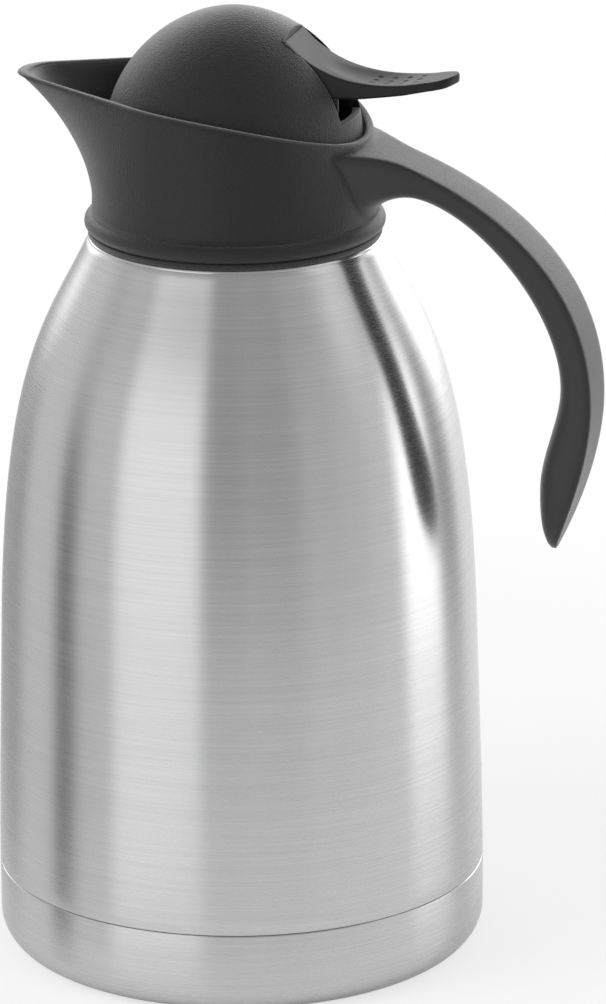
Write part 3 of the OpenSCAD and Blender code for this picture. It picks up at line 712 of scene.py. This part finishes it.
class CARAFE_OT_lever(bpy.types.Operator):
    """Lay the thumb lever with its hollow, and add the hub, the side skirts and the fork that lifts the stem"""

    bl_idname = "carafe.lever"
    bl_label = "Thumb lever"

    def execute(self, context):
        size = context.scene.carafe_lever
        self.reach, self.dish, self.end = size.reach / MM, size.dish / MM, 7.15
        self.crest = bezier([(18.6, 282.9), (22.5, 279.8), (33, 265), (67.8, 273.8)], 200)
        bm = bmesh.new()
        centre = self.reach - self.end
        stations = [12.2, 14, 16, 18, 18.6, 19, 19.6, 20.4, 21.4, 22.6, 24, 25.6, 27.4, 29.4]
        stations += [31.5 + 1.6 * i for i in range(16)]
        stations += [57, 58.4, 59.6, 60.8, 62, 63]
        stations += [centre + self.end * math.cos(math.radians(a)) for a in (68, 60, 52, 45, 38, 31, 24, 18, 12, 7, 3)]
        lay(bm, [self.ring(x) for x in stations])
        barrel(bm, (15, 0, 271.8), 4.4, 20.6)
        for side in (1, -1):
            block(bm, (15, side * 9.1 - 0.75, 262), (34.4, side * 9.1 + 0.75, 268))
            self.fork(bm, side * 5.4)
        piece(bm, "thumb_lever", "lever", ["lever"], found("satin_lever"), 40)
        return {"FINISHED"}

    def ring(self, x):
        """Section of the lever across at x: rounded edges and the thumb's hollow on top."""
        half = between(x, [(9, 10.3), (21.2, 10.5), (39, 9.9), (53.4, 8.7), (60, 7.2)])
        centre = self.reach - self.end
        if x > centre:
            half = math.sqrt(max(0.01, self.end**2 - (x - centre) ** 2))
        elif x > 60:
            half = 7.18
        if x < 18.5:
            top = between(x, [(12, 274.8), (18, 277.3), (18.6, 281)])
        else:
            top = between(x, [(p[0], p[1]) for p in self.crest])
        low = between(x, [(14, 267.4), (23, 266.2), (30.4, 266.1), (39.4, 266.4), (46, 267.15), (53.4, 268.1),
                          (60, 269.3), (65.4, 270.3), (68.4, 271.4)])
        deep = top - low
        over, under = min(0.8, deep * 0.45), min(1.3, deep * 0.5)
        half = max(half, over + 0.02, under + 0.02)
        points = [(-(half - under) + 2 * (half - under) * k / 8, low) for k in range(9)]
        points += [(half - under + under * math.sin(a), low + under - under * math.cos(a))
                   for a in (math.radians(d) for d in (22, 45, 68, 90))]
        points += [(half - over + over * math.cos(a), top - over + over * math.sin(a))
                   for a in (math.radians(d) for d in (0, 22, 45, 68))]
        points += [((half - over) * (1 - 2 * k / 22), top) for k in range(23)]
        points += [(-(half - over + over * math.cos(a)), top - over + over * math.sin(a))
                   for a in (math.radians(d) for d in (68, 45, 22, 0))]
        points += [(-(half - under + under * math.sin(a)), low + under - under * math.cos(a))
                   for a in (math.radians(d) for d in (90, 68, 45, 22))]
        shaped = []
        for y, z in points:
            far = self.dish**2 - (x - 47) ** 2 - y**2
            if far > 0 and x > 30:
                bowl = 308.2 - math.sqrt(far)
                gap = max(0.0, z - bowl)
                z -= gap * gap / (gap + 0.12) if gap else 0
            shaped.append(Vector((x, y, z)))
        return shaped

    def fork(self, bm, y):
        """One arm of the fork, with the opening that holds the cross pin."""
        swing = math.radians(8)
        arm = 15 / math.cos(swing)
        columns = (-arm - 3, -arm - 2.7, -arm + 2.7, 0)
        rows = (-3, -1.25, 1.25, 3)
        before = set(bm.verts)
        bmesh.ops.create_grid(bm, x_segments=3, y_segments=3, size=1)
        made = [v for v in bm.verts if v not in before]
        for v in made:
            column, row = round((v.co.x + 1) * 1.5), round((v.co.y + 1) * 1.5)
            v.co = Vector((columns[column], y - 1.7, rows[row]))
        faces = list({f for v in made for f in v.link_faces})
        middles = ((f, f.calc_center_median()) for f in faces)
        hole = next(f for f, c in middles if abs(c.z) < 0.1 and abs(c.x + arm) < 0.5)
        faces.remove(hole)
        bmesh.ops.delete(bm, geom=[hole], context="FACES")
        pulled = bmesh.ops.extrude_face_region(bm, geom=faces, use_keep_orig=True)["geom"]
        moved = [g for g in pulled if isinstance(g, bmesh.types.BMVert)]
        bmesh.ops.translate(bm, vec=(0, 3.4, 0), verts=moved)
        every = made + moved
        bmesh.ops.rotate(bm, cent=(0, 0, 0), matrix=Matrix.Rotation(-swing, 3, "Y"), verts=every)
        bmesh.ops.translate(bm, vec=(15, 0, 271.8), verts=every)


# ---------------------------------------------------------------- studio


class CARAFE_OT_stage(bpy.types.Operator):
    """Make the pale floor, the soft studio light and the camera"""

    bl_idname = "carafe.stage"
    bl_label = "Stage"

    def execute(self, context):
        self.floor()
        self.studio(context.scene)
        self.lamps(context.scene)
        self.camera(context.scene)
        return {"FINISHED"}

    def floor(self):
        bm = bmesh.new()
        bmesh.ops.create_circle(bm, cap_ends=True, segments=128, radius=620)
        bmesh.ops.translate(bm, vec=(0, 0, -0.02), verts=bm.verts)
        bmesh.ops.scale(bm, vec=(MM, MM, MM), verts=bm.verts)
        mesh = bpy.data.meshes.new("floor")
        bm.to_mesh(mesh)
        bm.free()
        made = bpy.data.objects.new("floor", mesh)
        bpy.context.scene.collection.objects.link(made)
        finish = bpy.data.materials.new("pale_floor")
        nodes = Nodes(finish)
        own = nodes.add("ShaderNodeSeparateXYZ", None, {"Vector": nodes.place()})
        out = (own.value(0) ** 2.0 + own.value(1) ** 2.0) ** 0.5
        path = nodes.add("ShaderNodeLightPath")
        seen, glossy = path.value("Is Camera Ray"), path.value("Is Glossy Ray")
        cloth = nodes.add("ShaderNodeBsdfDiffuse", None, {"Color": (0.88, 0.88, 0.88, 1)})
        white = nodes.add("ShaderNodeEmission", None, {"Color": (1, 1, 1, 1), "Strength": 1.0})
        mix = seen * (out.eased(0.14, 0.5) * 0.3 + 0.7)
        both = nodes.add("ShaderNodeMixShader", None, {0: mix, 1: cloth, 2: white})
        # Polished things see only the floor close by; further out they see the studio's cards.
        clear = nodes.add("ShaderNodeBsdfTransparent", None, {"Color": (1, 1, 1, 1)})
        near = (1 - out.eased(0.3, 0.56)) * (own.value(0) * RIGHT[0] + own.value(1) * RIGHT[1]).eased(-0.2, -0.04) * 0.95
        faded = glossy * (1 - near)
        all_three = nodes.add("ShaderNodeMixShader", None, {0: faded, 1: both, 2: clear})
        nodes.add("ShaderNodeOutputMaterial", None, {"Surface": all_three})
        mesh.materials.append(finish)

    def studio(self, scene):
        """White behind the carafe, plain light on it, and soft cards and flags for it to reflect."""
        world = bpy.data.worlds.new("studio")
        scene.world = world
        world.cycles.sampling_method = "NONE"
        nodes = Nodes(world)
        own = nodes.add("ShaderNodeSeparateXYZ", None, {"Vector": nodes.add("ShaderNodeTexCoord").value("Generated")})
        x, y, z = (own.value(i) for i in range(3))
        aside, ahead = x * RIGHT[0] + y * RIGHT[1], x * RIGHT[1] - y * RIGHT[0]
        turn = aside.maths("ARCTAN2", ahead) * (180 / math.pi)
        rise = z.maths("ARCSINE") * (180 / math.pi)
        light = 1.25
        # name, middle and half-width in degrees from the camera's side, softness, lowest and highest point, brightness
        cards = (("grey room", 0, 168, 4, -90, 90, 0.6), ("left room behind", -150, 21, 8, -90, 90, 0.34),
                 ("left card behind", -114, 13, 9, -90, 90, 0.72), ("left flag", -91, 8, 4, -90, -8, 0.0),
                 ("left card", -76, 10, 7, -90, 90, 0.7), ("left panel", -41, 22, 4, -90, 90, 1.16),
                 ("front flag", -6, 11, 3, -90, 90, 0.38), ("right room", 24, 22, 10, -90, 90, 0.42),
                 ("right wall", 41, 9, 7, -90, 90, 0.56), ("right card", 78, 9, 8, -90, 90, 0.72),
                 ("right strip", 100, 13, 5, -90, 4, 2.2), ("right flag", 127, 9, 6, -13, 8, 0.25),
                 ("right panel behind", 152, 16, 7, -90, 90, 0.8))
        for name, middle, half, soft, bottom, top, level in cards:
            inside = abs(turn - middle).eased(half + soft, half - soft)
            if bottom > -90:
                inside = inside * rise.eased(bottom - 8, bottom)
            if top < 90:
                inside = inside * rise.eased(top + 14, top)
            light = light * (1 - inside) + inside * level
        high = rise.eased(22, 50)
        light = light * (1 - high) + high * 0.42
        for name, middle, half, height, tall, level in (("left lamp behind", -157, 32, 20, 24, 2.1),
                                                        ("right lamp", 88, 26, 46, 22, 0.6),
                                                        ("right lamp behind", 150, 30, 14, 24, 2.2)):
            across, upright = abs(turn - middle), abs(rise - height)
            light = light + across.eased(half, half * 0.3) * upright.eased(tall, tall * 0.3) * level
        low = rise.eased(0, -30) * 0.35
        light = light * (1 - low) + low * 0.6
        path = nodes.add("ShaderNodeLightPath")
        camera, glossy, clear = (path.value(n) for n in ("Is Camera Ray", "Is Glossy Ray", "Is Transmission Ray"))
        shown = camera.maths("MAXIMUM", clear)
        plain = (1 - shown) * (1 - glossy)
        strength = shown + plain * 0.72 + (1 - shown) * glossy * light
        sky = nodes.add("ShaderNodeBackground", None, {"Color": (1, 1, 1, 1), "Strength": strength})
        nodes.add("ShaderNodeOutputWorld", None, {"Surface": sky})

    def lamps(self, scene):
        for name, place, size, power in (("key", (-0.9, -0.9, 1.3), 0.9, 9.0), ("fill", (1.1, -0.6, 0.9), 0.9, 3.0)):
            data = bpy.data.lights.new(name, "AREA")
            data.shape, data.size, data.energy = "DISK", size, power
            lamp = bpy.data.objects.new(name, data)
            aim = (Vector(place) - Vector((0, 0, 0.14))).to_track_quat("Z", "Y")
            lamp.matrix_world = Matrix.Translation(place) @ aim.to_matrix().to_4x4()
            lamp.visible_glossy = False
            scene.collection.objects.link(lamp)

    def camera(self, scene):
        data = bpy.data.cameras.new("camera")
        data.sensor_fit, data.sensor_height, data.lens = "VERTICAL", 36, 226.4
        data.clip_start, data.clip_end = 0.05, 20
        made = bpy.data.objects.new("camera", data)
        turn = Matrix.Rotation(math.radians(16) - 0.0108, 4, "Z") @ Matrix.Rotation(math.pi / 2 - 0.3082, 4, "X")
        made.matrix_world = Matrix.Translation((0.4997, -1.7428, 0.7143)) @ turn @ Matrix.Rotation(-0.0074, 4, "Z")
        scene.collection.objects.link(made)
        scene.camera = made
        scene.view_settings.view_transform = "Standard"


class CARAFE_PT_panel(bpy.types.Panel):
    """Lists the carafe's pieces"""

    bl_idname = "CARAFE_PT_panel"
    bl_label = "Thermal carafe"
    bl_space_type = "VIEW_3D"
    bl_region_type = "UI"
    bl_category = "Carafe"

    def draw(self, context):
        for name in GROUPS:
            group = getattr(context.scene, name)
            box = self.layout.box()
            for key in group.bl_rna.properties.keys():
                if key not in ("rna_type", "name"):
                    box.prop(group, key)
        for kind in OPERATORS:
            self.layout.operator(kind.bl_idname)


GROUPS = {"carafe_finishes": CarafeFinishes, "carafe_body": CarafeBody, "carafe_collar": CarafeCollar,
          "carafe_dome": CarafeDome, "carafe_lever": CarafeLever}
OPERATORS = (CARAFE_OT_finishes, CARAFE_OT_body_shell, CARAFE_OT_base_cap, CARAFE_OT_bead, CARAFE_OT_collar,
             CARAFE_OT_dome, CARAFE_OT_lever, CARAFE_OT_stage)


def register():
    for kind in (*GROUPS.values(), *OPERATORS, CARAFE_PT_panel):
        bpy.utils.register_class(kind)
    for name, kind in GROUPS.items():
        setattr(bpy.types.Scene, name, PointerProperty(type=kind))


def unregister():
    for name in GROUPS:
        delattr(bpy.types.Scene, name)
    for kind in reversed((*GROUPS.values(), *OPERATORS, CARAFE_PT_panel)):
        bpy.utils.unregister_class(kind)


def main():
    register()
    bpy.ops.carafe.finishes()
    bpy.ops.carafe.body_shell()
    bpy.ops.carafe.base_cap()
    bpy.ops.carafe.bead()
    bpy.ops.carafe.collar()
    bpy.ops.carafe.dome()
    bpy.ops.carafe.lever()
    bpy.ops.carafe.stage()
    bpy.context.view_layer.update()


if __name__ == "__main__":
    main()
